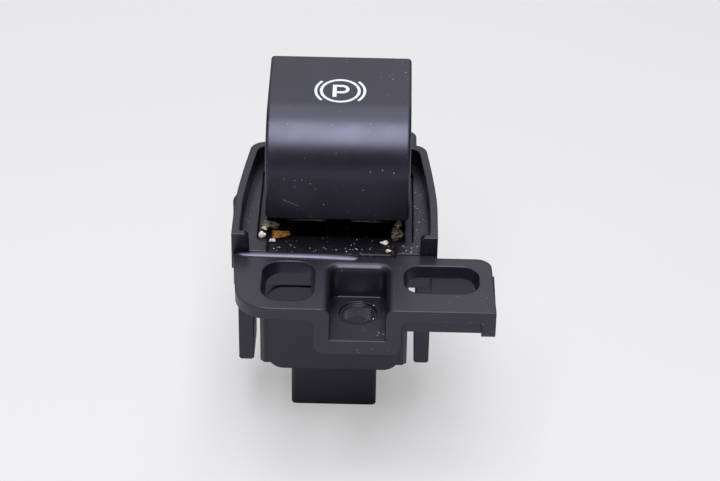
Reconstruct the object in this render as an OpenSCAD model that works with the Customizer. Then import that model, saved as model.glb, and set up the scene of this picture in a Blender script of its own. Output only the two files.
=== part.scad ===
// Electric parking brake switch for a centre console.
// A moulded mounting frame with a forward screw bracket carries the switch
// housing. A soft-touch paddle rocks on a steel pin, and its drive arm pushes
// a sprung contact slider over a circuit board above the plug socket.
// The origin is the centre of the plug socket's mouth, which is the face the
// switch stands on. +Z points up along the plug, -Y points at the bracket.

/* [Bracket plate] */
// Height of the plate's upper face above the socket mouth
plate_z = 40; // [38:0.5:42]
// Thickness of the bracket plate
plate_t = 2.4; // [2:0.1:3]
// Reach of the plate in front of the frame
plate_depth = 17.8; // [17:0.1:19]
// Reach of the plate to the left of centre
plate_left = 18.75; // [18.5:0.05:19]
// Reach of the plate's ear to the right of centre
ear_right = 29.5; // [28.5:0.1:31]
// Width of the left locating hole
left_hole_w = 9.7; // [8:0.1:10.5]
// Depth of the left locating hole
left_hole_d = 12.6; // [10:0.1:13.2]
// Corner radius of the left locating hole
left_hole_r = 3.8; // [2:0.1:4]
// Width of the slot in the right ear
ear_slot_w = 13.8; // [12:0.1:14]
// Depth of the slot in the right ear
ear_slot_d = 8.8; // [7:0.1:9.2]
// Widening of the holes at the upper face
hole_taper = 0.7; // [0.3:0.1:0.9]
// Depth of the screw pocket's floor below the plate's upper face
pocket_drop = 6.9; // [5:0.1:8]
// Clear width of the screw pocket
pocket_w = 10.3; // [9:0.1:11]
// Wall of the screw pocket
pocket_wall = 2.7; // [2:0.1:3]
// Diameter of the screw hole
screw_d = 5.6; // [4.5:0.1:6]
// Diameter of the shallow ring round the screw hole
screw_ring_d = 7; // [6.6:0.1:8]
// Depth of the shallow ring round the screw hole
screw_ring_depth = 0.4; // [0.2:0.1:0.6]
// Length of the wall that hangs from the ear's end
ear_wall_drop = 5.8; // [5:0.1:6.5]

/* [Frame] */
// Half of the rim's outer width at its front end
rim_half_front = 19.1; // [18.9:0.1:19.5]
// Half of the rim's outer width at its rear end
rim_half_rear = 17.3; // [17:0.1:18]
// Distance of the rim's rear face behind the origin
rim_rear_y = 20.6; // [20.2:0.1:21.5]
// Height of the rim above the bracket plate
rim_rise = 3.65; // [3:0.05:4.5]
// Wall of the rim
rim_wall = 1.45; // [1.2:0.05:1.7]
// Thickness of the ledge
ledge_t = 1.5; // [1.2:0.1:2]
// Overhang of the finger opening over the housing on each side
opening_lap = 0.6; // [0.4:0.1:1]
// Wall of the curtain that drops from the ledge round the housing
curtain_t = 1.3; // [1:0.1:1.6]
// Depth of a snap leg from front to rear
leg_depth = 9; // [7:0.5:11]
// Width of a snap leg
leg_w = 2.9; // [2.6:0.1:3.2]
// Height of a snap leg's lower end above the socket mouth
leg_end_z = 12.2; // [10:0.1:14]

/* [Housing] */
// Half of the housing's outer width
house_half = 14; // [13.8:0.1:14.2]
// Distance of the housing's front face before the origin
house_front = 12.5; // [12:0.1:13]
// Distance of the housing's rear face behind the origin
house_rear = 17; // [16.5:0.1:17.5]
// Height of the housing's lower rim above the socket mouth
house_base_z = 14.5; // [14:0.1:15]
// Wall of the housing
house_wall = 1.8; // [1.5:0.1:2]
// Height of the shoulder where the housing enters the frame
shoulder_z = 33; // [32.5:0.1:33.5]
// Height of the housing's upper edge
house_top_z = 39.3; // [38.9:0.1:39.6]
// Height by which the panel on the housing's front stands proud
panel_proud = 0.5; // [0.3:0.1:0.6]
// Height of the deck under the finger opening
deck_z = 37; // [36:0.1:37.5]

/* [Plug socket] */
// Width of the plug socket outside
socket_w = 16.6; // [15:0.1:17]
// Depth of the plug socket outside
socket_d = 13; // [12:0.1:14]
// Wall of the plug socket
socket_wall = 1.2; // [1:0.1:1.5]
// Distance between neighbouring terminals
pin_pitch = 2.54; // [2:0.02:2.54]
// Thickness of a square terminal
pin_side = 0.64; // [0.5:0.02:0.8]
// Depth of the terminals' tips inside the socket's mouth
pin_recess = 4.6; // [4.5:0.1:6]

/* [Paddle] */
// Gap between the paddle's side and the edge of the finger opening
paddle_side_gap = 1.15; // [0.9:0.05:1.5]
// Offset of the paddle's middle to the right of the housing's middle
paddle_x = 0.3; // [0:0.1:0.4]
// Distance of the paddle's front face before the origin
paddle_front = 5.5; // [5:0.1:6]
// Distance of the paddle's rear face behind the origin
paddle_rear = 19.8; // [19:0.1:20]
// Height of the paddle's front lower edge above the plate
paddle_gap = 3.06; // [2.8:0.02:4]
// Height of the paddle's flat front face
paddle_face_h = 8.3; // [7:0.1:9]
// Radius of the paddle's front curve
paddle_round = 11; // [10:0.1:12]
// Slope of the paddle's top, rising to the rear, in degrees
paddle_slope = 4.3; // [2:0.1:6]
// Wall of the paddle's top and front
paddle_wall = 2; // [1.6:0.1:2.2]
// Wall of the paddle's cheeks
cheek_wall = 1.6; // [1.4:0.1:1.8]
// Rounding of the paddle's side edges
paddle_edge = 0.6; // [0.4:0.1:0.8]

/* [Mechanism] */
// Distance of the pivot pin's axis behind the origin
pivot_y = 7; // [6.5:0.1:7.5]
// Height of the pivot pin's axis
pivot_z = 36; // [35.5:0.1:36.5]
// Diameter of the pivot pin
pivot_d = 3; // [2.5:0.1:3.2]
// Radial running clearance of the paddle on its pin
pivot_play = 0.05; // [0.02:0.01:0.1]
// Radial clearance of the pin in the housing
pin_fit = 0.02; // [0.01:0.01:0.05]
// Length of the drive arm from the pivot to the middle of its tip
arm_len = 11.5; // [11:0.1:11.8]
// Diameter of the drive arm's round tip
tip_d = 3; // [2.6:0.1:3.2]
// Clearance of the tip in the slider's slot, on each side
tip_play = 0.08; // [0.05:0.01:0.15]
// Clearance of the slider in its rails
slide_play = 0.1; // [0.05:0.01:0.2]
// Thickness of the circuit board
board_t = 1.6; // [1:0.1:1.8]
// Height of the circuit board's lower face
board_z = 18.6; // [18.2:0.1:18.8]
// Wire of the return springs
spring_wire = 0.4; // [0.3:0.05:0.5]
// Mean diameter of the return springs
spring_d = 3.4; // [3:0.1:3.6]
// Turns of a return spring
spring_turns = 6; // [4:1:7]
// Clearance between parts that are fitted by hand
fit = 0.1; // [0.05:0.01:0.15]

/* [Hidden] */
$fn = 64;

// Small overlap that keeps cuts and joined walls clean
eps = 0.02;

// Frame
frame_front = -house_front + 0.4;
rim_z = plate_z + rim_rise;
ledge_z = plate_z;
rim_corner = 3;
rim_bend = 1.4;
rim_straight_y = -2;
rim_steps = 8;
rim_skirt_z = plate_z - 4;
curtain_end_z = shoulder_z + fit;
opening_half = house_half + opening_lap;
opening_corner = 1.5;
notch_left = -house_half + 1.4;
notch_right = house_half - 3.4;
notch_round = 1.6;
notch_z = plate_z - notch_round;
ledge_front_y = -9;
end_wall_t = 1.2;
front_wall_lap = 0.6;
end_wall_w = 3.2;
end_wall_round = 1;
leg_inner = house_half + 1.4;
leg_front = -8.5;
leg_chamfer = 0.4;
lug_y = -0.4;
lug_r = 5.1;
lug_proud = 0.45;
lug_low = plate_z - 0.5;
lug_high = plate_z + 3.3;
tongue_x = 9.65;
tongue_w = 11.1;
tongue_reach = 5.8;
tongue_t = 2.4;

// Bracket plate
plate_rear = -house_front;
plate_front = plate_rear - plate_depth;
pocket_x = 4.65;
pocket_rear = plate_front + 13.9;
pocket_floor_t = 2.9;
pocket_floor = plate_z - pocket_drop;
pocket_corner = 1.6;
pocket_flare = 1.2;
pocket_fillet = 1.3;
screw_y = plate_front + 8.8;
left_hole_x = -8.15;
left_hole_y = plate_front + 8.8;
ear_slot_x = 19.75;
ear_slot_y = plate_front + 10.1;
ear_corner = 2.8;
ear_rear = plate_rear - 0.8;
ear_wall_d = 13;
ear_wall_t = 2.5;
ear_wall_cut = 2.5;
ear_wall_round = 0.8;
ear_rib_y = plate_front + 3.4;
ear_rib_t = 1.4;
ear_skirt_drop = 8.2;
plate_round = 1;
plate_lean = 1.05;
plate_corner = 6.6;

// Housing
neck_half = opening_half - 0.15;
neck_front = ledge_front_y + fit;
neck_wall = 1.4;
neck_rear = house_rear - 0.8;
nose_z = house_base_z + 0.9;
panel_half = house_half - 1.5;
panel_low = house_base_z - 0.9;
panel_corner = 3;
deck_t = 1.5;
deck_rear = -2.5;
post_r = 1.2;

// Paddle
paddle_w = 2 * (opening_half - paddle_side_gap);
lip_z = plate_z + paddle_gap;
curve_y = paddle_round - paddle_front;
curve_z = lip_z + paddle_face_h;
heel_y = 11.5;
heel_rise = 6;
cap_inner_half = paddle_w / 2 - cheek_wall;

// Carrier
carrier_half = cap_inner_half - fit;
carrier_wall = 2;
carrier_top = curve_z + 8.1;
carrier_deck = 2;
carrier_front = 1.8;
carrier_rear = 15;
bridge_low = pivot_z + 5;
bridge_h = 4;
bridge_half = 6;
arm_half = 2.4;
arm_wall = 1.8;
boss_r = pivot_d / 2 + 1.7;
tip_z = pivot_z - arm_len;

// Light for the sign
light_y = 12.4;
light_r = 1.3;
sign_y = 8.5;
light_hole_r = 4;
diffuser_t = 0.6;
diffuser_lap = 0.8;
reflector_h = 2.2;

// Slider
slider_len = 10;
slider_front = pivot_y - slider_len / 2;
slider_rear = pivot_y + slider_len / 2;
tongue = 2.2;
tongue_h = 2;
slider_half = house_half - house_wall - tongue - 2;
slider_z = board_z + board_t + 1.9;
slider_h = 4.9;
arm_slot_half = arm_half + 0.6;
light_slot_d = 2.7;
rail_t = 1.4;
spring_x = 5;
pocket_depth = 4;
rib_y = -7.5;
rib_t = 1.5;

// Circuit board
track_t = 0.1;
board_top = board_z + board_t;
contact_x = 4.6;
contact_reach = 2.4;
resistor_y = -9.6;
resistor_pitch = 3;
resistor_l = 1.6;
resistor_d = 0.8;
resistor_h = 0.35;
capacitor_x = -5.9;
capacitor_pitch = 3;
capacitor_y = -4.9;
capacitor_l = 2;
capacitor_d = 1.2;
capacitor_h = 1.1;
diode_x = 5.4;
diode_y = -4.1;
diode_l = 4;
diode_d = 2.2;
diode_h = 1.3;

// Turns a profile drawn as depth and height into a solid that is w wide
module across(w) {
    rotate([90, 0, 90]) linear_extrude(w, center = true) children();
}

// Turns a profile drawn as width and height into a solid from y0 to y1
module along(y0, y1) {
    translate([0, y1, 0]) rotate([90, 0, 0]) linear_extrude(y1 - y0) children();
}

// Rectangle with round corners, centred
module round_rect(w, d, r) {
    square([w - 2 * r, d], center = true);
    square([w, d - 2 * r], center = true);
    for (sx = [-1, 1], sy = [-1, 1])
        translate([sx * (w / 2 - r), sy * (d / 2 - r)]) circle(r);
}

// Box given by its lowest and highest corner
module block(a, b) {
    translate(a) cube(b - a);
}

// Cylinder along X
module rod(r, x0, x1, y, z) {
    translate([x0, y, z]) rotate([0, 90, 0]) cylinder(r = r, h = x1 - x0);
}

// Half of the rim's outer width at depth y: straight in front, drawn in behind
function rim_half(y) = rim_half_front - (rim_half_front - rim_half_rear)
    * pow(max(0, y - rim_straight_y) / (rim_rear_y - rim_corner - rim_straight_y), rim_bend);

// Outline of the rim seen from above, drawn in by i, with its front at y0
module rim_outline(i, y0) {
    r = rim_corner - i * 0.5;
    step = (rim_rear_y - rim_corner - rim_straight_y) / rim_steps;
    ys = [for (k = [0:rim_steps]) rim_straight_y + k * step];
    last = ys[rim_steps];
    lean = atan((rim_half(last - step) - rim_half(last)) / step);
    yc = rim_rear_y - i - r;
    yt = yc + r * sin(lean);
    xt = rim_half(last) - i - (yt - last) * tan(lean);
    xc = xt - r * cos(lean);
    side = concat([[rim_half(y0) - i, y0]], [for (y = ys) if (y < yt) [rim_half(y) - i, y]], [[xt, yt]]);
    n = len(side);
    polygon(concat(
        side, [[xc, yc + r], [-xc, yc + r]],
        [for (k = [n - 1:-1:0]) [-side[k].x, side[k].y]]
    ));
    for (s = [-1, 1]) translate([s * xc, yc]) circle(r);
}

// Outline of the finger opening inside the ledge, grown by g
module opening_outline(g) {
    y0 = ledge_front_y - g;
    y1 = neck_rear + 0.5 + g;
    translate([0, (y0 + y1) / 2]) round_rect(2 * (opening_half + g), y1 - y0, opening_corner + g);
}

// Space between the rim's two front ends, with their upper corners rounded
module end_opening() {
    half = rim_half_front - end_wall_w;
    r = end_wall_round;
    translate([-half, ledge_z]) square([2 * half, rim_rise + 1]);
    for (s = [-1, 1]) difference() {
        translate([s * half - r, rim_z - r]) square([2 * r, r + 1]);
        translate([s * (half + r), rim_z - r]) circle(r);
    }
}

// Raised rim, ledge and the curtain that surrounds the housing's neck
module frame_ring() {
    difference() {
        translate([0, 0, rim_skirt_z]) linear_extrude(rim_z - rim_skirt_z)
            rim_outline(0, frame_front);
        translate([0, 0, rim_skirt_z - eps])
            linear_extrude(ledge_z - ledge_t - rim_skirt_z + eps)
                rim_outline(rim_wall, frame_front + rim_wall);
        translate([0, 0, ledge_z]) linear_extrude(rim_rise + 1)
            rim_outline(rim_wall, frame_front + end_wall_t);
        along(frame_front - 1, frame_front + end_wall_t + 1) end_opening();
        translate([0, 0, rim_skirt_z - 1]) linear_extrude(rim_rise + 10) opening_outline(0);
        along(frame_front - 1, ledge_front_y + 2) difference() {
            translate([notch_left, notch_z])
                square([notch_right + notch_round - notch_left, rim_rise + 2 * notch_round]);
            translate([notch_right + notch_round, notch_z]) circle(notch_round);
        }
    }
    translate([0, 0, curtain_end_z]) linear_extrude(notch_z - curtain_end_z) difference() {
        opening_outline(curtain_t);
        opening_outline(0);
    }
    block([-rim_half_front + 0.4, plate_rear - front_wall_lap, curtain_end_z],
        [rim_half_front - 0.4, frame_front + end_wall_t, notch_z]);
    for (x = [-13.2, -6, 4, 13.2])
        block([x - 0.7, frame_front + 1, curtain_end_z], [x + 0.7, ledge_front_y - curtain_t + 0.2, notch_z]);
}

// Tongue that hooks under the console behind the frame
module rear_tongue() {
    root_y = rim_rear_y - 0.5;
    tongue_end = rim_rear_y + tongue_reach;
    low = rim_z - tongue_t - 0.1;
    translate([tongue_x, root_y, low]) linear_extrude(tongue_t) intersection() {
        round_rect(tongue_w, 2 * (tongue_end - root_y), 2.8);
        translate([-tongue_w, 0]) square([2 * tongue_w, 2 * tongue_reach]);
    }
    for (x = [tongue_x - 3, tongue_x + 3]) translate([x, 0, 0]) across(1.2)
        polygon([
            [root_y, rim_skirt_z + 0.6], [root_y, low + 0.1],
            [tongue_end - 1.5, low + 0.1], [rim_rear_y + 0.6, rim_skirt_z + 0.6]
        ]);
}

// Snap leg on the right side, which grips the housing from outside
module snap_leg() {
    x0 = leg_inner;
    x1 = leg_inner + leg_w;
    along(leg_front, leg_front + leg_depth)
        polygon([
            [x0, ledge_z - ledge_t + 0.2], [x1, ledge_z - ledge_t + 0.2],
            [x1, leg_end_z + leg_chamfer], [x1 - leg_chamfer, leg_end_z],
            [x0 + leg_chamfer, leg_end_z], [x0, leg_end_z + leg_chamfer]
        ]);
    along(leg_front + leg_depth - 3, leg_front + leg_depth)
        polygon([
            [x0 + eps, shoulder_z - 1], [house_half + 0.15, shoulder_z - 1],
            [house_half + 0.15, shoulder_z - 1.8], [x0 + eps, shoulder_z - 4]
        ]);
}

// Outline of the bracket plate seen from above
module plate_outline() {
    corner_x = -plate_left + plate_lean + plate_corner;
    polygon([
        [-plate_left, plate_rear + eps], [-plate_left + plate_lean, plate_front + plate_corner],
        [corner_x, plate_front], [ear_right, plate_front],
        [ear_right - 0.45, ear_rear - ear_corner], [ear_right - 0.45 - ear_corner, ear_rear],
        [rim_half_front, ear_rear], [rim_half_front - 0.4, plate_rear + eps]
    ]);
    translate([ear_right - 0.45 - ear_corner, ear_rear - ear_corner]) circle(ear_corner);
    translate([corner_x, plate_front + plate_corner]) circle(plate_corner);
}

// Outline of the screw pocket seen from above, grown by g
module pocket_outline(g) {
    half = pocket_w / 2 + g;
    r = pocket_corner + g;
    front = plate_front - 1;
    translate([pocket_x, 0]) {
        translate([-half, front]) square([2 * half, pocket_rear + g - r - front]);
        translate([-half + r, front]) square([2 * (half - r), pocket_rear + g - front]);
        for (s = [-1, 1]) translate([s * (half - r), pocket_rear + g - r]) circle(r);
    }
}

// Tool for the screw pocket, whose upper edge is rounded outwards
module pocket_tool() {
    translate([0, 0, pocket_floor]) linear_extrude(pocket_drop + 1) pocket_outline(0);
    for (a = [0, 30, 60]) hull() for (b = [a, a + 30])
        translate([0, 0, plate_z - pocket_flare * (1 - sin(b)) + (b == 90 ? eps : 0)])
            linear_extrude(eps) pocket_outline(pocket_flare * (1 - cos(b)));
}

// Hole with round corners that widens to the upper face
module tapered_hole(x, y, w, d, r) {
    hull() {
        translate([x, y, plate_z - plate_t - 0.1]) linear_extrude(eps)
            round_rect(w - 2 * hole_taper, d - 2 * hole_taper, r - hole_taper);
        translate([x, y, plate_z + eps]) linear_extrude(eps) round_rect(w, d, r);
    }
}

// Tool that rounds an edge along X: the edge lies at y and z
module edge_cut(x0, x1, y, z, r) {
    difference() {
        block([x0, y - r, z - r], [x1, y + 1, z + 1]);
        rod(r, x0 - 1, x1 + 1, y - r, z - r);
    }
}

// Bracket plate with its locating holes, ear, screw pocket and lower ribs
module bracket() {
    outer = pocket_w / 2 + pocket_wall;
    under = plate_z - plate_t;
    pocket_low = pocket_floor - pocket_floor_t;
    difference() {
        union() {
            translate([0, 0, under]) linear_extrude(plate_t) plate_outline();
            translate([pocket_x, 0, 0]) along(plate_front, pocket_rear + pocket_wall) {
                translate([0, (plate_z - 0.5 + pocket_low) / 2])
                    round_rect(2 * outer, plate_z - 0.5 - pocket_low, 1.8);
                for (s = [-1, 1]) difference() {
                    translate([s * outer - pocket_fillet, under - pocket_fillet])
                        square([2 * pocket_fillet, pocket_fillet + eps]);
                    translate([s * (outer + pocket_fillet), under - pocket_fillet]) circle(pocket_fillet);
                }
            }
        }
        pocket_tool();
        tapered_hole(left_hole_x, left_hole_y, left_hole_w, left_hole_d, left_hole_r);
        tapered_hole(ear_slot_x, ear_slot_y, ear_slot_w, ear_slot_d, ear_slot_d / 2 - 1);
        translate([pocket_x, screw_y, pocket_low - 1]) cylinder(d = screw_d, h = plate_z);
        translate([pocket_x, screw_y, pocket_floor - screw_ring_depth])
            cylinder(d = screw_ring_d, h = pocket_drop);
        edge_cut(-plate_left - 1, notch_right + notch_round / 2, plate_rear + eps, plate_z, plate_round);
    }
    block([pocket_x + outer - 0.5, ear_rib_y, plate_z - pocket_drop],
        [ear_right - ear_wall_t / 2, ear_rib_y + ear_rib_t, under + eps]);
    block([rim_half_front - 1, ear_rear - ear_rib_t, plate_z - ear_skirt_drop],
        [ear_right - 0.45 - ear_corner, ear_rear, under + eps]);
    translate([ear_right - ear_wall_t / 2, 0, 0]) across(ear_wall_t)
        polygon([
            [plate_front + ear_wall_round, plate_z - ear_wall_drop],
            [plate_front, plate_z - ear_wall_drop + ear_wall_round], [plate_front, plate_z - 1],
            [plate_front + ear_wall_d, plate_z - 1],
            [plate_front + ear_wall_d, plate_z - ear_wall_drop + ear_wall_cut],
            [plate_front + ear_wall_d - ear_wall_cut, plate_z - ear_wall_drop]
        ]);
}

module mounting_frame() {
    color("#1c1b20") {
        difference() {
            union() {
                frame_ring();
                for (s = [0, 1]) mirror([s, 0, 0]) snap_leg();
            }
            block([-house_half - 0.05, -house_front, shoulder_z - 1],
                [house_half + 0.05, house_rear + 0.05, shoulder_z + eps]);
        }
        rear_tongue();
        bracket();
        lug_face = -rim_half(lug_y) - lug_proud;
        translate([0, 0, lug_low]) linear_extrude(lug_high - lug_low) intersection() {
            translate([lug_face + lug_r, lug_y]) circle(lug_r);
            translate([lug_face - 1, lug_y - lug_r]) square([lug_proud + 1 + rim_wall / 2, 2 * lug_r]);
        }
    }
}

// Rail channel on one side of the housing for the slider's tongue
module slide_rail() {
    x0 = slider_half + 0.6;
    x1 = house_half - house_wall + eps;
    low = slider_z - slide_play;
    high = slider_z + tongue_h + slide_play;
    block([x0, rib_y + rib_t - eps, low - rail_t], [x1, house_rear - house_wall + eps, low]);
    block([x0, rib_y + rib_t - eps, high], [x1, house_rear - house_wall + eps, high + rail_t]);
}

module switch_body() {
    inner_half = house_half - house_wall;
    inner_front = -house_front + house_wall;
    inner_rear = house_rear - house_wall;
    neck_inner = neck_half - neck_wall;
    color("#17161a") difference() {
        union() {
            difference() {
                block([-house_half, -house_front, house_base_z], [house_half, house_rear, shoulder_z]);
                block([-inner_half, inner_front, house_base_z - 1],
                    [inner_half, inner_rear, shoulder_z - house_wall]);
                block([-neck_inner, deck_rear, shoulder_z - house_wall - 1],
                    [neck_inner, neck_rear - neck_wall, shoulder_z + 1]);
            }
            difference() {
                translate([0, (neck_front + neck_rear) / 2, shoulder_z - eps])
                    linear_extrude(house_top_z - shoulder_z + eps)
                        round_rect(2 * neck_half, neck_rear - neck_front, opening_corner);
                block([-neck_inner, neck_front + neck_wall, deck_z], [neck_inner, deck_rear, house_top_z + 1]);
                block([-neck_inner, deck_rear - eps, shoulder_z - 1],
                    [neck_inner, neck_rear - neck_wall, house_top_z + 1]);
                block([-neck_inner + 1, neck_front + neck_wall, shoulder_z - 1],
                    [neck_inner - 1, deck_rear - deck_t, deck_z - deck_t]);
                block([notch_left, neck_front - 1, notch_z - 0.4],
                    [notch_right, neck_front + neck_wall + 0.1, house_top_z + 1]);
            }
            for (s = [0, 1]) mirror([s, 0, 0]) slide_rail();
            block([-inner_half - eps, rib_y, board_top + 0.4],
                [inner_half + eps, rib_y + rib_t, shoulder_z - house_wall + eps]);
            translate([0, light_y, shoulder_z - 3]) cylinder(r = light_r + 1.1, h = 3);
            block([-1.8, light_y + light_r + 0.4, shoulder_z - 3], [1.8, inner_rear + eps, shoulder_z]);
            along(-house_front - panel_proud, -house_front + house_wall)
                translate([0, (panel_low + shoulder_z - 0.5) / 2])
                    round_rect(2 * panel_half, shoulder_z - 0.5 - panel_low, panel_corner);
        }
        translate([0, light_y, shoulder_z - 4]) cylinder(r = light_r + fit / 2, h = 8);
        rod(pivot_d / 2 + pin_fit, -neck_half - 1, neck_half + 1, pivot_y, pivot_z);
        for (s = [0, 1]) mirror([s, 0, 0])
            block([inner_half - 1, -3 - fit, nose_z - fit],
                [inner_half + 0.7 + fit, 3 + fit, nose_z + 1.4]);
        for (s = [-1, 1]) translate([s * house_half, -house_front, house_base_z - 1])
            rotate(45) cube([1.1, 1.1, 2 * shoulder_z], center = true);
    }
}

module base_cover() {
    half = house_half - house_wall - fit;
    y0 = -house_front + house_wall + fit;
    y1 = house_rear - house_wall - fit;
    low = house_base_z - 0.9;
    high = house_base_z + 1.5;
    in_w = socket_w - 2 * socket_wall;
    in_d = socket_d - 2 * socket_wall;
    color("#141317") {
        difference() {
            union() {
                along(y0, y1) {
                    translate([0, (low + high) / 2 + 0.5]) round_rect(2 * half, high - low + 1, 1);
                }
                linear_extrude(low + 1) round_rect(socket_w, socket_d, 1);
                block([-1.2, socket_d / 2 - eps, 4], [1.2, socket_d / 2 + 1, low + 1]);
                for (x = [-socket_w / 2 + 1.4, socket_w / 2 - 1.4])
                    block([x - 0.6, socket_d / 2 - eps, 1], [x + 0.6, socket_d / 2 + 0.8, low + 1]);
            }
            block([-half - 1, y0 - 1, high], [half + 1, y1 + 1, high + 3]);
            translate([0, 0, -1]) linear_extrude(low + 0.2) round_rect(in_w, in_d, 0.6);
            for (i = [-2:2], j = [-1, 1])
                translate([i * pin_pitch, j * pin_pitch / 2, low])
                    cube([pin_side + 2 * fit, pin_side + 2 * fit, 10], center = true);
        }
        across(2.6)
            polygon([[socket_d / 2, 5], [socket_d / 2 + 1.8, 7], [socket_d / 2 + 1.8, 7.8], [socket_d / 2, 7.8]]);
        for (s = [0, 1]) mirror([s, 0, 0]) along(-3, 3)
            polygon([
                [half - 0.5, nose_z], [half + 0.7, nose_z], [half + 0.7, nose_z + 0.2],
                [half, high], [half - 0.5, high]
            ]);
        for (s = [-1, 1], y = [y0 + 2, y1 - 2])
            translate([s * (half - 2 * post_r), y, high - eps]) cylinder(r = post_r, h = board_z - high + eps);
    }
}

module circuit_board() {
    half = house_half - house_wall - 3 * fit;
    color("#1d5a35") difference() {
        block([-half, -house_front + house_wall + 3 * fit, board_z],
            [half, house_rear - house_wall - 3 * fit, board_top]);
        for (i = [-2:2], j = [-1, 1])
            translate([i * pin_pitch, j * pin_pitch / 2, board_z])
                cube([pin_side + 2 * fit, pin_side + 2 * fit, 10], center = true);
    }
}

module terminal_pins() {
    top = board_top + 0.5;
    color("#c9ccd2") for (i = [-2:2], j = [-1, 1])
        translate([i * pin_pitch, j * pin_pitch / 2, 0]) {
            translate([0, 0, (pin_recess + 0.5 + top) / 2])
                cube([pin_side, pin_side, top - pin_recess - 0.5], center = true);
            across(pin_side)
                polygon([
                    [-pin_side / 2, pin_recess + 0.6], [-0.12, pin_recess],
                    [0.12, pin_recess], [pin_side / 2, pin_recess + 0.6]
                ]);
        }
}

module contact_tracks() {
    color("#d4a437") for (x = [-contact_x, contact_x], y = [pivot_y - contact_reach, pivot_y + contact_reach])
        block([x - 1.2, y - 1.9, board_top], [x + 1.2, y + 1.9, board_top + track_t]);
}

module symbol_led() {
    color("#f2f0e4") {
        block([-1.6, light_y - 0.9, board_top], [1.6, light_y + 0.9, board_top + 0.5]);
        translate([0, light_y, board_top + 0.5 - eps]) cylinder(r = 0.8, h = 0.5);
    }
}

module led_light_guide() {
    color("#dfe9ee") {
        translate([0, light_y, board_top + 1.3]) cylinder(r = light_r, h = carrier_top - 5.5 - board_top - 1.3);
        translate([0, light_y, shoulder_z]) cylinder(r = light_r + 0.6, h = 1);
    }
}

module chip_resistors() {
    color("#2b2b30") for (i = [-3:3])
        translate([i * resistor_pitch - resistor_l / 2, resistor_y, board_top])
            cube([resistor_l, resistor_d, resistor_h]);
}

module chip_capacitors() {
    color("#b08d62") for (s = [-1, 1])
        translate([capacitor_x + s * capacitor_pitch / 2 - capacitor_l / 2, capacitor_y, board_top])
            cube([capacitor_l, capacitor_d, capacitor_h]);
}

module clamping_diode() {
    color("#232327") {
        translate([diode_x - diode_l / 2, diode_y - diode_d / 2, board_top + 0.1])
            cube([diode_l, diode_d, diode_h - 0.1]);
        translate([diode_x - 0.65 * diode_l, diode_y - diode_d / 4, board_top])
            cube([1.3 * diode_l, diode_d / 2, diode_h / 4]);
    }
}

module pivot_pin() {
    end = neck_half - 0.05;
    color("#b4b8be") {
        rod(pivot_d / 2, -end + 0.3, end - 0.3, pivot_y, pivot_z);
        rod(pivot_d / 2 - 0.3, -end, end, pivot_y, pivot_z);
    }
}

// Side outline of the paddle, drawn in by i
module paddle_outline(i) {
    r = paddle_round - i;
    x0 = -paddle_front + i;
    x1 = paddle_rear - i;
    top = curve_z + r / cos(paddle_slope) + (x1 - curve_y) * tan(paddle_slope);
    intersection() {
        translate([curve_y, curve_z]) circle(r, $fn = 144);
        translate([x0, curve_z]) square([r, r]);
    }
    polygon([
        [x0, lip_z + i], [x0, curve_z],
        [curve_y - r * sin(paddle_slope), curve_z + r * cos(paddle_slope)],
        [x1, top], [x1, lip_z + heel_rise + i / 2], [heel_y, lip_z + i]
    ]);
}

// Paddle shell: a soft-touch moulding, open below, with ribs onto the carrier
module paddle_cap() {
    translate([paddle_x, 0, 0]) color("#26242b") {
        difference() {
            hull() for (a = [0, 30, 60, 90])
                across(paddle_w - 2 * paddle_edge * (1 - sin(a)))
                    paddle_outline(paddle_edge * (1 - cos(a)));
            across(2 * cap_inner_half) {
                paddle_outline(paddle_wall);
                translate([-paddle_front + paddle_wall, lip_z - 1])
                    square([paddle_rear + paddle_front - 2 * paddle_wall, curve_z - lip_z + 1]);
            }
        }
        for (s = [-1, 1]) translate([s * cap_inner_half * 0.6, 0, 0]) across(1.2) intersection() {
            paddle_outline(paddle_wall - 0.1);
            translate([0, carrier_top]) square([carrier_rear, paddle_round]);
        }
    }
}

module paddle_carrier() {
    side_z = lip_z + 6;
    translate([paddle_x, 0, 0]) color("#2e2d31") difference() {
        union() {
            for (s = [-1, 1]) translate([s * (carrier_half - carrier_wall / 2), 0, 0]) across(carrier_wall)
                polygon([
                    [0, carrier_top - carrier_front], [carrier_front, carrier_top],
                    [carrier_rear, carrier_top], [carrier_rear - 1, side_z],
                    [pivot_y + boss_r, pivot_z], [pivot_y - boss_r, pivot_z], [-0.5, side_z]
                ]);
            rod(boss_r, -carrier_half, -carrier_half + carrier_wall, pivot_y, pivot_z);
            rod(boss_r, carrier_half - carrier_wall, carrier_half, pivot_y, pivot_z);
            block([-carrier_half, carrier_front, carrier_top - carrier_deck],
                [carrier_half, carrier_rear, carrier_top]);
            block([-carrier_half, pivot_y - tip_d / 2, bridge_low],
                [carrier_half, pivot_y + tip_d / 2, bridge_low + bridge_h]);
            rod(boss_r, -arm_half, arm_half, pivot_y, pivot_z);
            along(pivot_y - tip_d / 2, pivot_y + tip_d / 2)
                polygon([
                    [-arm_half, pivot_z], [-bridge_half, bridge_low + bridge_h / 2],
                    [bridge_half, bridge_low + bridge_h / 2], [arm_half, pivot_z]
                ]);
            across(2 * arm_half)
                polygon([
                    [pivot_y - boss_r, pivot_z], [pivot_y - arm_wall / 2, tip_z + tip_d],
                    [pivot_y - arm_wall / 2, tip_z], [pivot_y + arm_wall / 2, tip_z],
                    [pivot_y + arm_wall / 2, tip_z + tip_d], [pivot_y + boss_r, pivot_z]
                ]);
            rod(tip_d / 2, -arm_half, arm_half, pivot_y, tip_z);
        }
        rod(pivot_d / 2 + pivot_play, -carrier_half - 1, carrier_half + 1, pivot_y, pivot_z);
        translate([0, sign_y, carrier_top - carrier_deck - 1])
            cylinder(r = light_hole_r, h = carrier_deck + 2);
    }
}

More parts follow.
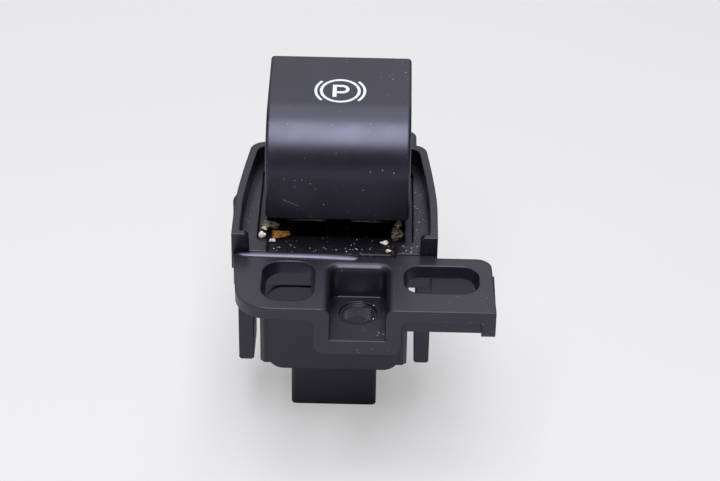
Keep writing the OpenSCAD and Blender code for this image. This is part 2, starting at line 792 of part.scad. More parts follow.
module symbol_diffuser() {
    color("#f4f4f2") translate([paddle_x, sign_y, carrier_top])
        cylinder(r = light_hole_r + diffuser_lap, h = diffuser_t);
}

module light_reflector() {
    color("#ececea") translate([paddle_x, sign_y, carrier_top - carrier_deck - reflector_h]) difference() {
        cylinder(r = light_hole_r + diffuser_lap, h = reflector_h);
        translate([0, 0, -1]) cylinder(r = light_hole_r, h = reflector_h + 2);
    }
}

module contact_slider() {
    slot = tip_d / 2 + tip_play;
    top = slider_z + slider_h;
    pocket_r = spring_d / 2 + spring_wire / 2 + 0.25;
    spring_z = slider_z + slider_h / 2;
    color("#e3dfd3") difference() {
        union() {
            block([-slider_half, slider_front, slider_z], [slider_half, slider_rear, top]);
            block([-slider_half - tongue, slider_front, slider_z],
                [slider_half + tongue, slider_rear, slider_z + tongue_h]);
        }
        block([-arm_slot_half, pivot_y - slot, tip_z - tip_d / 2 - 0.5],
            [arm_slot_half, pivot_y + slot, top + 1]);
        block([-light_r - 1, slider_rear - light_slot_d, slider_z - 1],
            [light_r + 1, slider_rear + 1, top + 1]);
        translate([-spring_x, slider_front - 1, spring_z]) rotate([-90, 0, 0])
            cylinder(r = pocket_r, h = pocket_depth + 1);
        translate([spring_x, slider_rear + 1, spring_z]) rotate([90, 0, 0])
            cylinder(r = pocket_r, h = pocket_depth + 1);
    }
}

module wiper_contacts() {
    low = board_top + track_t + 0.1;
    t = 0.2;
    color("#c07a4a") for (x = [-contact_x, contact_x]) translate([x, 0, 0]) across(1.6)
        polygon([
            [pivot_y - 4, slider_z], [pivot_y + 4, slider_z], [pivot_y + 4, slider_z - t],
            [pivot_y + 2.2, low + t], [pivot_y + 2.8, low + t + 0.3], [pivot_y + 3, low + t],
            [pivot_y + 2.4, low], [pivot_y + 1.8, low], [pivot_y, slider_z - t],
            [pivot_y - 1.8, low], [pivot_y - 2.4, low], [pivot_y - 3, low + t],
            [pivot_y - 2.8, low + t + 0.3], [pivot_y - 2.2, low + t], [pivot_y - 4, slider_z - t]
        ]);
}

// Helical spring along +Y that starts at the origin
module coil_spring(length) {
    sides = 6;
    per_turn = 14;
    steps = spring_turns * per_turn;
    wr = spring_wire / 2;
    rise = length - spring_wire;
    pts = [
        for (i = [0:steps], k = [0:sides - 1])
            let (
                a = 360 * i / per_turn,
                b = 360 * k / sides,
                r = spring_d / 2 + wr * cos(b),
                y = wr + rise * i / steps + wr * sin(b)
            ) [r * cos(a), y, r * sin(a)]
    ];
    walls = [
        for (i = [0:steps - 1], k = [0:sides - 1])
            let (n = (k + 1) % sides)
            [i * sides + k, i * sides + n, (i + 1) * sides + n, (i + 1) * sides + k]
    ];
    first = [for (k = [sides - 1:-1:0]) k];
    last = [for (k = [0:sides - 1]) steps * sides + k];
    polyhedron(pts, concat([first], walls, [last]));
}

module front_return_spring() {
    y0 = rib_y + rib_t;
    color("#9aa0a8") translate([-spring_x, y0, slider_z + slider_h / 2])
        coil_spring(slider_front + pocket_depth - y0);
}

module rear_return_spring() {
    y0 = slider_rear - pocket_depth;
    color("#9aa0a8") translate([spring_x, y0, slider_z + slider_h / 2])
        coil_spring(house_rear - house_wall - y0);
}

mounting_frame();
switch_body();
base_cover();
circuit_board();
terminal_pins();
contact_tracks();
symbol_led();
led_light_guide();
chip_resistors();
chip_capacitors();
clamping_diode();
pivot_pin();
paddle_cap();
paddle_carrier();
symbol_diffuser();
light_reflector();
contact_slider();
wiper_contacts();
front_return_spring();
rear_return_spring();
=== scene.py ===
"""Dresses the electric parking brake switch and sets it on a pale floor."""

import math

import bmesh
import bpy
import numpy as np
from mathutils import Euler, Matrix


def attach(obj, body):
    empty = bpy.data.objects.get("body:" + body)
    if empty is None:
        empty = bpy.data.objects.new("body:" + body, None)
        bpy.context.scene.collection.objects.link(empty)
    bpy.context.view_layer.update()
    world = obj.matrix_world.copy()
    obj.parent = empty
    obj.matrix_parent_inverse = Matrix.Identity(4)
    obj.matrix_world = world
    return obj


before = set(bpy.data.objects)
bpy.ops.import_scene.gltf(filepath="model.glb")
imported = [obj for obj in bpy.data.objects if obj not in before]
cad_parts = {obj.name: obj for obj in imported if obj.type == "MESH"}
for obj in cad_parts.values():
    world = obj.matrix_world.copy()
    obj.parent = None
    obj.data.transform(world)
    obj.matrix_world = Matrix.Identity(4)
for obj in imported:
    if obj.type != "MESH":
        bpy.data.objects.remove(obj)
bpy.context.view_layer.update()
MM = 0.001


# The stage: a plain pale floor under the plug socket, soft lamps and the
# camera at the photograph's angle. The floor keeps the switch's shadow and is
# shown to the camera a little brighter than it lights the switch.
bpy.context.scene.view_settings.view_transform = "Standard"


def linear(colour):
    """Turns an sRGB hex colour into linear red, green, blue and alpha."""
    srgb = [int(colour[i:i + 2], 16) / 255 for i in (1, 3, 5)]
    return [c / 12.92 if c <= 0.04045 else ((c + 0.055) / 1.055) ** 2.4 for c in srgb] + [1.0]


def add(tree, kind, settings=None, values=None, links=None):
    """Adds one node with its settings, its socket values and the links that come into it."""
    new = tree.nodes.new(kind)
    for name, value in (settings or {}).items():
        setattr(new, name, value)
    for name, value in (values or {}).items():
        new.inputs[name].default_value = value
    for name, source in (links or {}).items():
        tree.links.new(source, new.inputs[name])
    return new


def blank_material(name):
    """Makes an empty node material and returns it with its node tree."""
    material = bpy.data.materials.new(name)
    material.use_nodes = True
    material.node_tree.nodes.clear()
    return material, material.node_tree


def surface(name, x, y, z, closed_u=False, closed_v=False):
    """Makes a mesh object from coordinate grids in millimetres.

    Neighbouring grid points share a four-sided face, and a closed direction joins its last row to its first.
    """
    rows, columns = x.shape
    points = np.stack([x, y, z], axis=-1).reshape(-1, 3) * MM
    u = np.arange(rows if closed_u else rows - 1)
    v = np.arange(columns if closed_v else columns - 1)
    u, v = np.meshgrid(u, v, indexing="ij")
    u_next, v_next = (u + 1) % rows, (v + 1) % columns
    corners = [u * columns + v, u_next * columns + v, u_next * columns + v_next, u * columns + v_next]
    faces = np.stack(corners, axis=-1).reshape(-1, 4)
    mesh = bpy.data.meshes.new(name)
    mesh.from_pydata(points.tolist(), [], faces.tolist())
    mesh.update()
    piece = bpy.data.objects.new(name, mesh)
    bpy.context.collection.objects.link(piece)
    return piece


floor_half = 3000
edge = np.array([-floor_half, floor_half], float)
floor_x, floor_y = np.meshgrid(edge, edge, indexing="ij")
floor = surface("pale_floor", floor_x, floor_y, np.zeros((2, 2)))
floor_material, tree = blank_material("matt_studio_floor")
matt = add(tree, "ShaderNodeBsdfDiffuse", values={"Color": linear("#d2d2d4")})
rays = add(tree, "ShaderNodeLightPath")
plain = add(tree, "ShaderNodeEmission", values={"Color": linear("#f4f4f5"), "Strength": 1.0})
share = add(tree, "ShaderNodeMath", {"operation": "MULTIPLY"}, {1: 0.4},
            {0: rays.outputs["Is Camera Ray"]})
mix = add(tree, "ShaderNodeMixShader",
          links={0: share.outputs[0], 1: matt.outputs[0], 2: plain.outputs[0]})
add(tree, "ShaderNodeOutputMaterial", links={"Surface": mix.outputs[0]})
floor.data.materials.append(floor_material)

world = bpy.data.worlds.new("soft_studio_air")
bpy.context.scene.world = world
world.use_nodes = True
world.node_tree.nodes.clear()
tree = world.node_tree
rays = add(tree, "ShaderNodeLightPath")
dim = add(tree, "ShaderNodeBackground", values={"Color": linear("#cfd2d8"), "Strength": 0.12})
pale = add(tree, "ShaderNodeBackground", values={"Color": linear("#f4f4f5"), "Strength": 1.0})
mix = add(tree, "ShaderNodeMixShader",
          links={0: rays.outputs["Is Camera Ray"], 1: dim.outputs[0], 2: pale.outputs[0]})
add(tree, "ShaderNodeOutputWorld", links={"Surface": mix.outputs[0]})


def lamp(name, place, aim, size, power):
    """Hangs a rectangular soft lamp at a place in millimetres and points it at another place.

    Its two turns are the angle of its beam from straight down and the beam's heading.
    """
    light = bpy.data.lights.new(name, "AREA")
    light.shape = "RECTANGLE"
    light.size, light.size_y = size[0] * MM, size[1] * MM
    light.energy = power
    holder = bpy.data.objects.new(name, light)
    bpy.context.collection.objects.link(holder)
    holder.visible_camera = False
    holder.location = [c * MM for c in place]
    way = np.array(place, float) - np.array(aim, float)
    across = math.hypot(way[0], way[1])
    holder.rotation_euler = (math.atan2(across, way[2]), 0, math.atan2(way[1], way[0]) + math.pi / 2)


lamp("front_softbox", (-20, -258, 603), (0, 0, 50), (340, 490), 4.5)
lamp("overhead_softbox", (0, 194, 628), (0, 0, 50), (420, 480), 1.5)
lamp("rear_softbox", (0, 620, 470), (0, 0, 45), (900, 420), 0.92)
lamp("left_fill", (-560, -160, 220), (0, 0, 35), (300, 300), 0.2)

camera_tilt = 34
camera_heading = 0.5
camera_roll = 1.0
camera_place = (7.7, -355.0, 274.1)
lens = bpy.data.cameras.new("photo_camera")
lens.sensor_width = 36
lens.lens = 112
lens.clip_start = 0.01
lens.clip_end = 20
camera = bpy.data.objects.new("photo_camera", lens)
bpy.context.collection.objects.link(camera)
camera.location = [c * MM for c in camera_place]
camera.rotation_mode = "QUATERNION"
aim = Euler((math.radians(90 - camera_tilt), 0, math.radians(camera_heading))).to_matrix()
camera.rotation_quaternion = (aim @ Matrix.Rotation(math.radians(camera_roll), 3, "Z")).to_quaternion()
bpy.context.scene.camera = camera


# The paddle is a polycarbonate shell sprayed with a soft-touch paint. The
# paint gives a satin black with a faint violet cast, a very fine orange-peel
# grain, light scratches and a few pale specks of dust rubbed into it. The
# blue-violet tint of its gloss is painted light: the colour of bluish light
# laid into its reflections.
cloud_mm = 9
speck_mm = 1.3
scratch_mm = 0.35
scuff_half_mm = 0.06
scuff_wander_mm = 0.5


def specked(tree, place, cloud, top, dust):
    """Lays pale specks, 0.16 to 0.3 mm across, over a colour where the cloud pattern is thick."""
    cells = add(tree, "ShaderNodeTexVoronoi", {"feature": "F1"}, {"Scale": 1 / (speck_mm * MM)},
                {"Vector": place})
    dot = add(tree, "ShaderNodeMapRange",
              values={"From Min": 0.06, "From Max": 0.12, "To Min": 1.0, "To Max": 0.0},
              links={"Value": cells.outputs["Distance"]})
    patch = add(tree, "ShaderNodeMapRange",
                values={"From Min": 0.47, "From Max": 0.62, "To Min": 0.0, "To Max": dust},
                links={"Value": cloud})
    amount = add(tree, "ShaderNodeMath", {"operation": "MULTIPLY"},
                 links={0: dot.outputs[0], 1: patch.outputs[0]})
    dusty = add(tree, "ShaderNodeMix", {"data_type": "RGBA"}, {7: linear("#a4a6ac")},
                {0: amount.outputs[0], 6: top})
    return dusty.outputs[2]


def scuffed(tree, place, cloud, top, scuff):
    """Draws one thin pale mark over a colour on the front, between two points (x, z) in millimetres.

    The dot product with the mark's direction says how far along the mark a point is, and the dot product
    with the direction square to it how far across. The cloud pattern, about a half in its middle, makes
    the mark wander a little.
    """
    (x_1, z_1), (x_2, z_2) = scuff
    length = math.hypot(x_2 - x_1, z_2 - z_1)
    way_x, way_z = (x_2 - x_1) / length, (z_2 - z_1) / length
    middle = (x_1 * way_x + z_1 * way_z + length / 2) * MM
    level = (z_1 * way_x - x_1 * way_z + scuff_wander_mm / 2) * MM
    along = add(tree, "ShaderNodeVectorMath", {"operation": "DOT_PRODUCT"}, {1: (way_x, 0, way_z)},
                {0: place})
    across = add(tree, "ShaderNodeVectorMath", {"operation": "DOT_PRODUCT"}, {1: (-way_z, 0, way_x)},
                 {0: place})
    depth = add(tree, "ShaderNodeVectorMath", {"operation": "DOT_PRODUCT"}, {1: (0, 1, 0)}, {0: place})
    drift = add(tree, "ShaderNodeMath", {"operation": "MULTIPLY_ADD"}, {1: scuff_wander_mm * MM},
                {0: cloud, 2: across.outputs["Value"]})
    inside = add(tree, "ShaderNodeMath", {"operation": "COMPARE"}, {1: middle, 2: length / 2 * MM},
                 {0: along.outputs["Value"]})
    near = add(tree, "ShaderNodeMath", {"operation": "COMPARE"}, {1: level, 2: scuff_half_mm * MM},
               {0: drift.outputs[0]})
    front = add(tree, "ShaderNodeMath", {"operation": "LESS_THAN"}, {1: 0.0},
                {0: depth.outputs["Value"]})
    both = add(tree, "ShaderNodeMath", {"operation": "MULTIPLY"},
               links={0: inside.outputs[0], 1: near.outputs[0]})
    mark = add(tree, "ShaderNodeMath", {"operation": "MULTIPLY"},
               links={0: both.outputs[0], 1: front.outputs[0]})
    marked = add(tree, "ShaderNodeMix", {"data_type": "RGBA"}, {7: linear("#6f6d72")},
                 {0: mark.outputs[0], 6: top})
    return marked.outputs[2]


def scratched(tree, place, normal, depth):
    """Scores long fine scratches into a normal: the bright ridges of a noise that is drawn out along y."""
    long_way = add(tree, "ShaderNodeMapping",
                   values={"Scale": (1.0, 0.06, 1.0), "Rotation": (0.0, 0.0, 0.5)},
                   links={"Vector": place})
    lines = add(tree, "ShaderNodeTexNoise", values={"Scale": 1 / (scratch_mm * MM), "Detail": 1.0},
                links={"Vector": long_way.outputs[0]})
    thin = add(tree, "ShaderNodeMapRange",
               values={"From Min": 0.68, "From Max": 0.72, "To Min": 0.0, "To Max": 1.0},
               links={"Value": lines.outputs["Fac"]})
    scored = add(tree, "ShaderNodeBump", values={"Strength": depth, "Distance": 0.01 * MM},
                 links={"Height": thin.outputs[0], "Normal": normal})
    return scored.outputs[0]


def grained_plastic(name, colour, rough, grain_mm, grain_depth, edge_mm, dust=0.0, scratches=0.0,
                    sheen=0.0, gloss="#ffffff", scuff=None):
    """Moulded or sprayed plastic: a base colour, an even grain, softly rounded edges and light dust."""
    material, tree = blank_material(name)
    place = add(tree, "ShaderNodeTexCoord").outputs["Object"]
    grain = add(tree, "ShaderNodeTexNoise",
                values={"Scale": 1 / (grain_mm * MM), "Detail": 3.0, "Roughness": 0.55},
                links={"Vector": place})
    cloud = add(tree, "ShaderNodeTexNoise",
                values={"Scale": 1 / (cloud_mm * MM), "Detail": 4.0, "Roughness": 0.6},
                links={"Vector": place}).outputs["Fac"]
    tone = add(tree, "ShaderNodeMapRange",
               values={"From Min": 0.3, "From Max": 0.7, "To Min": 0.82, "To Max": 1.18},
               links={"Value": cloud})
    base = add(tree, "ShaderNodeMix", {"data_type": "RGBA", "blend_type": "MULTIPLY"},
               {0: 1.0, 6: linear(colour)}, {7: tone.outputs[0]})
    roughness = add(tree, "ShaderNodeMapRange",
                    values={"From Min": 0.3, "From Max": 0.7, "To Min": rough - 0.05, "To Max": rough + 0.07},
                    links={"Value": cloud})
    bevel = add(tree, "ShaderNodeBevel", {"samples": 6}, {"Radius": edge_mm * MM})
    bump = add(tree, "ShaderNodeBump", values={"Strength": 1.0, "Distance": grain_depth * MM},
               links={"Height": grain.outputs["Fac"], "Normal": bevel.outputs[0]})
    top, normal = base.outputs[2], bump.outputs[0]
    if dust:
        top = specked(tree, place, cloud, top, dust)
    if scuff:
        top = scuffed(tree, place, cloud, top, scuff)
    if scratches:
        normal = scratched(tree, place, normal, scratches)
    # A gloss colour other than white tints the reflections. The blue-violet ones given to the plastics here
    # are painted light: the colour of bluish light laid into the reflections, while the lamps stay white.
    skin = add(tree, "ShaderNodeBsdfPrincipled",
               values={"IOR": 1.5, "Specular IOR Level": 0.75, "Specular Tint": linear(gloss),
                       "Sheen Weight": sheen, "Sheen Roughness": 0.5, "Metallic": 0.0},
               links={"Base Color": top, "Roughness": roughness.outputs[0], "Normal": normal})
    add(tree, "ShaderNodeOutputMaterial", links={"Surface": skin.outputs[0]})
    return material


def dress(node_name, material):
    """Gives a CAD node its finish."""
    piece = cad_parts[node_name]
    if not piece.material_slots:
        piece.data.materials.append(material)
    for place in piece.material_slots:
        place.material = material


# Its gloss colour, #dcdcff, is a painted blue-violet tint of the light in its reflections.
soft_touch = grained_plastic("soft_touch_paint_on_polycarbonate", "#17151a", 0.34, 0.22, 0.012, 0.35,
                             dust=0.75, scratches=0.35, sheen=0.03, gloss="#dcdcff",
                             scuff=((-9.9, 47.1), (-6.8, 45.8)))
dress("paddle_cap", soft_touch)


# The brake sign is laser-etched through the paint, so the white plastic
# below shows: a letter P in a ring between two brackets. It follows the
# sloping top of the paddle.
sign_x, sign_y = 0.35, 8.5
sign_slope = math.radians(4.3)
paddle_curve_y, paddle_curve_z, paddle_curve_r = 5.5, 51.36, 11
sign_ground = paddle_curve_z + paddle_curve_r / math.cos(sign_slope)
sign_proud = 0.02
sign_white, tree = blank_material("etched_white_polycarbonate")
place = add(tree, "ShaderNodeTexCoord").outputs["Object"]
fleck = add(tree, "ShaderNodeTexNoise", values={"Scale": 1 / (0.25 * MM), "Detail": 2.0},
            links={"Vector": place})
shade = add(tree, "ShaderNodeMapRange",
            values={"From Min": 0.3, "From Max": 0.7, "To Min": 0.86, "To Max": 1.0},
            links={"Value": fleck.outputs["Fac"]})
tone = add(tree, "ShaderNodeMix", {"data_type": "RGBA", "blend_type": "MULTIPLY"},
           {0: 1.0, 6: linear("#d8dfea")}, {7: shade.outputs[0]})
skin = add(tree, "ShaderNodeBsdfPrincipled", values={"Roughness": 0.5, "IOR": 1.5},
           links={"Base Color": tone.outputs[2]})
add(tree, "ShaderNodeOutputMaterial", links={"Surface": skin.outputs[0]})


def seal(piece):
    """Merges the points that meet at a surface's ends and turns its faces outwards."""
    shell = bmesh.new()
    shell.from_mesh(piece.data)
    bmesh.ops.remove_doubles(shell, verts=shell.verts, dist=1e-7)
    bmesh.ops.recalc_face_normals(shell, faces=shell.faces)
    shell.to_mesh(piece.data)
    shell.free()


def etched_stroke(name, along_x, along_y, width, closed=False):
    """A flat stroke of even width along a path on the paddle's top, seen from above in millimetres.

    Each path point is moved half a width to either side, square to the path, and set on the sloping
    plane. A second, lower pair of edges closes the stroke into a thin solid, and an open stroke's ends
    close on the path.
    """
    if closed:
        step_x = np.roll(along_x, -1) - np.roll(along_x, 1)
        step_y = np.roll(along_y, -1) - np.roll(along_y, 1)
    else:
        step_x, step_y = np.gradient(along_x), np.gradient(along_y)
    length = np.hypot(step_x, step_y)
    side_x, side_y = -step_y / length * width / 2, step_x / length * width / 2
    x = np.stack([along_x - side_x, along_x + side_x, along_x + side_x, along_x - side_x], axis=1)
    y = np.stack([along_y - side_y, along_y + side_y, along_y + side_y, along_y - side_y], axis=1)
    lift = np.tile([sign_proud, sign_proud, -sign_proud, -sign_proud], (len(along_x), 1))
    if not closed:
        x = np.vstack([np.full(4, along_x[0]), x, np.full(4, along_x[-1])])
        y = np.vstack([np.full(4, along_y[0]), y, np.full(4, along_y[-1])])
        lift = np.vstack([np.zeros(4), lift, np.zeros(4)])
    z = sign_ground + (sign_y + y - paddle_curve_y) * math.tan(sign_slope) + lift
    stroke = surface(name, sign_x + x, sign_y + y, z, closed_u=closed, closed_v=True)
    seal(stroke)
    stroke.data.materials.append(sign_white)
    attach(stroke, "paddle")


ring_radius, ring_width = 3.55, 0.55
ring = np.linspace(0, 2 * math.pi, 96, endpoint=False)
etched_stroke("sign_ring", ring_radius * np.cos(ring), ring_radius * np.sin(ring), ring_width, closed=True)

bracket_radius, bracket_width = 4.6, 0.5
bow = np.radians(np.linspace(-42, 42, 40))
for side, name in ((1, "sign_bracket_right"), (-1, "sign_bracket_left")):
    etched_stroke(name, side * bracket_radius * np.cos(bow), bracket_radius * np.sin(bow), bracket_width)

stem_x, stem_width = -1.05, 0.75
stem = np.linspace(-2.0, 1.95, 12)
etched_stroke("sign_letter_stem", np.full(12, stem_x), stem, stem_width)

# The letter's bowl runs out from the stem at its top, round half a circle
# and back to the stem.
bowl_start, bowl_x, bowl_y, bowl_radius, bowl_width = -0.8, 0.35, 0.57, 1.05, 0.65
bowl = np.radians(np.linspace(90, -90, 24))
arm = np.linspace(bowl_start, bowl_x, 6)[:-1]
path_x = np.concatenate([arm, bowl_x + bowl_radius * np.cos(bowl), arm[::-1]])
path_y = np.concatenate([np.full(5, bowl_y + bowl_radius), bowl_y + bowl_radius * np.sin(bowl),
                         np.full(5, bowl_y - bowl_radius)])
etched_stroke("sign_letter_bowl", path_x, path_y, bowl_width)


# The mounting frame is one injection moulding in black glass-filled nylon.
# It has a fine spark-eroded texture and a dull gloss that runs bright along
# its rounded edges. The faint violet tint of its gloss is painted light
# laid into its reflections.
frame_nylon = grained_plastic("spark_textured_black_nylon", "#16141a", 0.36, 0.25, 0.01, 0.4,
                              dust=0.4, gloss="#e6e0fa")
dress("mounting_frame", frame_nylon)


# A low rounded crest runs along the plate's rear edge, from the left end to
# the pocket's corner. It is moulded with the frame. Its nylon is painted
# lighter than the frame's, a painted highlight, and is smoother and glossier
# with a blue-violet gloss tint of painted light, so it catches the light.
# Its round section, sunk by half its radius, swells to the right and closes
# at both ends.
crest_painted_highlight_nylon = grained_plastic("lighter_black_nylon_painted_highlight", "#24222c", 0.24, 0.25, 0.004, 0.3,
                                  gloss="#e4e2ff")
crest_left, crest_right = -18.5, 5.0
crest_rear, crest_bend = -13.35, 0.7
crest_thin, crest_swell = 0.9, 0.4
plate_top = 40.0
crest_x = np.linspace(crest_left, crest_right, 90)
share = (crest_x - crest_left) / (crest_right - crest_left)
crest_radius = (crest_thin + crest_swell * share) * np.sqrt(np.clip(1 - np.abs(2 * share - 1) ** 6, 0, 1))
crest_y = crest_rear - crest_bend * share ** 4
section = np.linspace(0, 2 * math.pi, 24, endpoint=False)
crest = surface("plate_crest", crest_x[:, None] + 0 * section,
                crest_y[:, None] + np.outer(crest_radius, np.cos(section)),
                plate_top + np.outer(crest_radius, np.sin(section) - 0.5), closed_v=True)
seal(crest)
crest.data.shade_smooth()
crest.data.materials.append(crest_painted_highlight_nylon)
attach(crest, "root")


# The housing and its base cover are black polybutylene, moulded in a plain
# matt tool. Nobody sees them once the switch is fitted. The faint violet
# tint of their gloss is painted light laid into their reflections.
housing_plastic = grained_plastic("matt_black_polybutylene", "#0f0d12", 0.42, 0.3, 0.012, 0.3,
                                  dust=0.15, gloss="#e6e0fa")
dress("switch_body", housing_plastic)
dress("base_cover", housing_plastic)


# The carrier under the paddle and the slider that its arm pushes are moulded
# in acetal, which runs dry on itself: a waxy satin, dyed dark on the carrier
# and left in its own cream colour on the slider.
carrier_plastic = grained_plastic("dark_grey_acetal", "#0e0d10", 0.45, 0.3, 0.01, 0.2)
slider_plastic = grained_plastic("natural_acetal", "#d9d4c6", 0.4, 0.3, 0.01, 0.2)
dress("paddle_carrier", carrier_plastic)
dress("contact_slider", slider_plastic)


# The pieces that light the sign are white polycarbonate, which scatters the
# lamp's light, and a clear cast acrylic rod, which leads it up. The rod has
# the gloss of a polished mould.
white_plastic = grained_plastic("white_polycarbonate", "#ececea", 0.45, 0.3, 0.01, 0.2)
for name in ("symbol_diffuser", "light_reflector", "symbol_led"):
    dress(name, white_plastic)
clear, tree = blank_material("clear_cast_acrylic")
skin = add(tree, "ShaderNodeBsdfPrincipled",
           values={"Base Color": linear("#eef4f6"), "Roughness": 0.08, "IOR": 1.49,
                   "Transmission Weight": 0.9})
add(tree, "ShaderNodeOutputMaterial", links={"Surface": skin.outputs[0]})
dress("led_light_guide", clear)


# The circuit board is glass epoxy under a green solder mask. Its chips are
# moulded in black epoxy and its capacitors are fired ceramic, both dull.
board_resin = grained_plastic("green_solder_mask_on_glass_epoxy", "#1d5a35", 0.35, 0.4, 0.01, 0.1)
chip_black = grained_plastic("black_moulded_epoxy", "#232326", 0.5, 0.2, 0.01, 0.05)
chip_tan = grained_plastic("fired_tan_ceramic", "#a98458", 0.5, 0.2, 0.01, 0.05)
dress("circuit_board", board_resin)
for name in ("chip_resistors", "clamping_diode"):
    dress(name, chip_black)
dress("chip_capacitors", chip_tan)


# The pin and the return springs are drawn steel, the terminals tinned bronze,
# and the contacts copper with a gold flash. Drawing and plating leave fine
# marks that break up the gloss.
def bare_metal(name, colour, rough):
    """Drawn or plated metal with fine marks in its gloss."""
    material, tree = blank_material(name)
    place = add(tree, "ShaderNodeTexCoord").outputs["Object"]
    marks = add(tree, "ShaderNodeTexNoise", values={"Scale": 1 / (0.15 * MM), "Detail": 2.0},
                links={"Vector": place})
    spread = add(tree, "ShaderNodeMapRange",
                 values={"From Min": 0.3, "From Max": 0.7, "To Min": rough - 0.06, "To Max": rough + 0.08},
                 links={"Value": marks.outputs["Fac"]})
    skin = add(tree, "ShaderNodeBsdfPrincipled", values={"Base Color": linear(colour), "Metallic": 1.0},
               links={"Roughness": spread.outputs[0]})
    add(tree, "ShaderNodeOutputMaterial", links={"Surface": skin.outputs[0]})
    return material


drawn_steel = bare_metal("drawn_spring_steel", "#b3b6bb", 0.3)
tinned = bare_metal("bright_tinned_bronze", "#cdced1", 0.28)
gilt = bare_metal("gold_flash_on_copper", "#d9ae5c", 0.3)
for name in ("pivot_pin", "front_return_spring", "rear_return_spring"):
    dress(name, drawn_steel)
dress("terminal_pins", tinned)
for name in ("contact_tracks", "wiper_contacts"):
    dress(name, gilt)


# Dirt has settled where the finger pulls. Crumbs and fluff are wedged in both
# corners under the paddle: dull, dry and lumpy.
def dirt(name, pale, deep, grain_mm):
    """Dull dry matter whose colour wanders between two tones."""
    material, tree = blank_material(name)
    place = add(tree, "ShaderNodeTexCoord").outputs["Object"]
    grain = add(tree, "ShaderNodeTexNoise", values={"Scale": 1 / (grain_mm * MM), "Detail": 4.0},
                links={"Vector": place})
    share = add(tree, "ShaderNodeMapRange", values={"From Min": 0.35, "From Max": 0.65},
                links={"Value": grain.outputs["Fac"]})
    tone = add(tree, "ShaderNodeMix", {"data_type": "RGBA"}, {6: linear(deep), 7: linear(pale)},
               {0: share.outputs[0]})
    bump = add(tree, "ShaderNodeBump", values={"Strength": 0.8, "Distance": 0.08 * MM},
               links={"Height": grain.outputs["Fac"]})
    skin = add(tree, "ShaderNodeBsdfPrincipled", values={"Roughness": 0.8, "Specular IOR Level": 0.3},
               links={"Base Color": tone.outputs[2], "Normal": bump.outputs[0]})
    add(tree, "ShaderNodeOutputMaterial", links={"Surface": skin.outputs[0]})
    return material


def crumb(name, place, half, seed, material):
    """A lumpy closed grain, with its middle and half sizes in millimetres.

    Each direction d of a ball, by turn and height angle, is stretched to half * d * (1 + 0.24 sin(4 d.x
    + seed) + 0.18 sin(6 d.y + 2 seed) + 0.14 sin(8 d.z + 3 seed)). The points at a pole are merged.
    """
    turn, rise = np.meshgrid(np.linspace(0, 2 * math.pi, 28, endpoint=False),
                             np.linspace(-math.pi / 2, math.pi / 2, 17), indexing="ij")
    d_x, d_y, d_z = np.cos(rise) * np.cos(turn), np.cos(rise) * np.sin(turn), np.sin(rise)
    d_x[:, [0, -1]], d_y[:, [0, -1]] = 0, 0
    reach = (1 + 0.24 * np.sin(4 * d_x + seed) + 0.18 * np.sin(6 * d_y + 2 * seed)
             + 0.14 * np.sin(8 * d_z + 3 * seed))
    piece = surface(name, place[0] + half[0] * d_x * reach, place[1] + half[1] * d_y * reach,
                    place[2] + half[2] * d_z * reach, closed_u=True)
    seal(piece)
    piece.data.shade_smooth()
    piece.data.materials.append(material)
    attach(piece, "root")


cream = dirt("dried_cream_crumb", "#efe3c8", "#b39a72", 0.4)
chalk = dirt("white_lint_and_flakes", "#f2f0ea", "#c4bfb4", 0.3)
rust = dirt("orange_brown_crumb", "#d08a3a", "#6a3a18", 0.5)
fluff = dirt("grey_brown_fluff", "#8c8074", "#2f2a27", 0.35)
crumb("crumb_left_cream", (-13.3, -4.0, 39.75), (0.55, 0.5, 0.42), 0.7, cream)
crumb("crumb_left_white", (-13.75, -6.3, 39.75), (0.75, 0.55, 0.42), 2.1, chalk)
crumb("crumb_left_orange", (-10.6, -2.95, 37.75), (1.5, 0.85, 0.7), 3.3, rust)
crumb("fluff_left", (-12.4, -3.3, 40.05), (1.25, 0.95, 0.75), 4.4, fluff)
crumb("flake_left", (-11.9, -4.5, 37.3), (0.5, 0.4, 0.22), 5.2, chalk)
crumb("crumb_right_beige", (11.8, -2.1, 39.9), (0.75, 0.65, 0.6), 1.4, cream)
crumb("fluff_right", (11.55, -2.75, 38.1), (1.15, 1.05, 0.95), 2.8, fluff)
crumb("lint_right", (9.3, -4.6, 37.35), (0.7, 0.45, 0.3), 0.2, chalk)
crumb("crumb_notch_right", (10.0, -9.35, 38.75), (0.4, 0.35, 0.3), 3.9, cream)


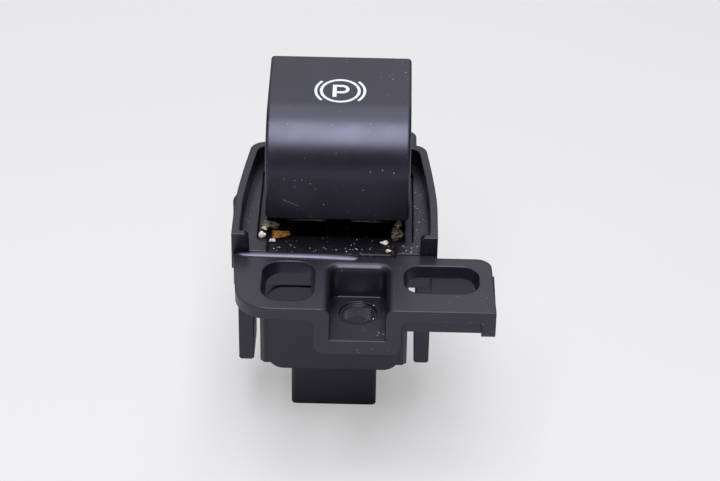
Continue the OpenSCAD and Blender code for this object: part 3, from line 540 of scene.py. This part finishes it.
# Pale dust lies on the ledges, the notch, the deck under the fingertip and the
# pocket's floor. Each bed gives its range across, its range in depth, its
# height and how many motes lie on it.
dust_beds = {
    "right_ledge": ((14.9, 17.0), (-8.5, 10.0), 40.0, 30),
    "left_ledge": ((-17.0, -14.9), (-8.5, 6.0), 40.0, 9),
    "right_front_ledge": ((12.6, 15.6), (-11.8, -9.2), 40.0, 22),
    "notch_strip": ((-12.3, 10.3), (-11.9, -9.2), 38.4, 34),
    "neck_front": ((-12.3, 10.3), (-8.8, -7.6), 38.0, 30),
    "finger_deck": ((-12.8, 12.8), (-7.3, -2.7), 37.0, 40),
    "pocket_floor": ((4.8, 9.5), (-29.5, -18.2), 33.1, 22),
}
chance = np.random.default_rng(7)
spots = []
for across_range, depth_range, ground, count in dust_beds.values():
    radius = 0.05 + 0.11 * chance.random(count) ** 2
    spots.append(np.stack([chance.uniform(*across_range, count), chance.uniform(*depth_range, count),
                           ground + 0.4 * radius, radius, chance.uniform(0, math.pi, count)], axis=1))
x, y, z, radius, turn = np.concatenate(spots).T[:, :, None]

# A mote is a flattened eight-sided grain: its six points lie at a radius to
# the sides, 0.7 radius across and half a radius up and down.
flat, low = 0.7, 0.5
point_x = np.array([1, 0, -1, 0, 0, 0])
point_y = np.array([0, flat, 0, -flat, 0, 0])
point_z = np.array([0, 0, 0, 0, low, -low])
x = x + radius * (point_x * np.cos(turn) - point_y * np.sin(turn))
y = y + radius * (point_x * np.sin(turn) + point_y * np.cos(turn))
z = z + radius * point_z
upper_sides = [[0, 1, 4], [1, 2, 4], [2, 3, 4], [3, 0, 4]]
lower_sides = [[1, 0, 5], [2, 1, 5], [3, 2, 5], [0, 3, 5]]
sides = np.array(upper_sides + lower_sides)
faces = (sides[None] + 6 * np.arange(len(x))[:, None, None]).reshape(-1, 3)
mesh = bpy.data.meshes.new("settled_dust")
mesh.from_pydata((np.stack([x, y, z], axis=-1).reshape(-1, 3) * MM).tolist(), [], faces.tolist())
dust = bpy.data.objects.new("settled_dust", mesh)
bpy.context.collection.objects.link(dust)
mesh.materials.append(chalk)
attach(dust, "root")
